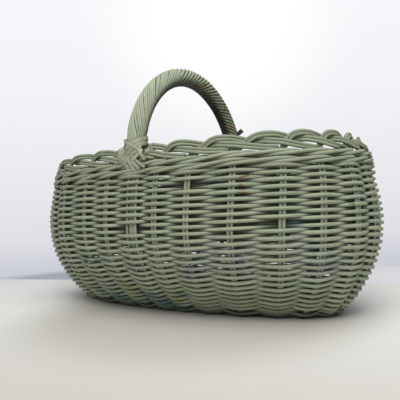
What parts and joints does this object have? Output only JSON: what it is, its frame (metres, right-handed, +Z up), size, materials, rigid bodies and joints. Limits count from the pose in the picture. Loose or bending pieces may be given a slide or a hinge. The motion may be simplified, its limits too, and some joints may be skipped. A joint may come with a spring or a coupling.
{
  "type": "wicker basket",
  "caption": "Oval open wicker basket with a bellied woven wall, a plaited border and one fixed arched handle across its short axis.",
  "frame": {"origin": "on the floor under the middle of the base", "axes": "+X along the basket's length, +Y across it in the handle's plane, +Z up"},
  "size_m": [0.4054, 0.2222, 0.2636],
  "materials": {
    "weavers": "sage paint brushed over round cane, satin, thin in the recesses",
    "stakes": "sage paint over paired rods, satin",
    "handle": "sage paint over thin wound rods, satin, rubbed on the ridges",
    "lashings": "sage paint over flat split skein, satin",
    "base": "thin sage paint, dull"
  },
  "bodies": {
    "root": {"weaver_a_1": "weavers", "weaver_b_1": "weavers", "weaver_a_2": "weavers", "weaver_b_2": "weavers", "weaver_a_3": "weavers", "weaver_b_3": "weavers", "weaver_a_4": "weavers", "weaver_b_4": "weavers", "wale_rod_1": "weavers", "wale_rod_2": "weavers", "wale_rod_3": "weavers", "stake_01": "stakes", "stake_02": "stakes", "stake_03": "stakes", "stake_04": "stakes", "stake_05": "stakes", "stake_06": "stakes", "stake_07": "stakes", "stake_08": "stakes", "stake_09": "stakes", "stake_10": "stakes", "stake_11": "stakes", "stake_12": "stakes", "stake_13": "stakes", "stake_14": "stakes", "stake_15": "stakes", "stake_16": "stakes", "stake_17": "stakes", "stake_18": "stakes", "stake_19": "stakes", "stake_20": "stakes", "stake_21": "stakes", "stake_22": "stakes", "stake_23": "stakes", "stake_24": "stakes", "stake_25": "stakes", "stake_26": "stakes", "stake_27": "stakes", "stake_28": "stakes", "handle_bow": "handle", "roping_1": "handle", "roping_2": "handle", "roping_3": "handle", "roping_4": "handle", "lashing_near": "lashings", "lashing_far": "lashings", "base_stick_cross_1": "base", "base_stick_cross_2": "base", "base_stick_cross_3": "base", "base_stick_cross_4": "base", "base_stick_cross_5": "base", "base_stick_cross_6": "base", "base_stick_cross_7": "base", "base_stick_long_1": "base", "base_stick_long_2": "base", "base_stick_long_3": "base", "base_weave": "base"}
  },
  "joints": []
}
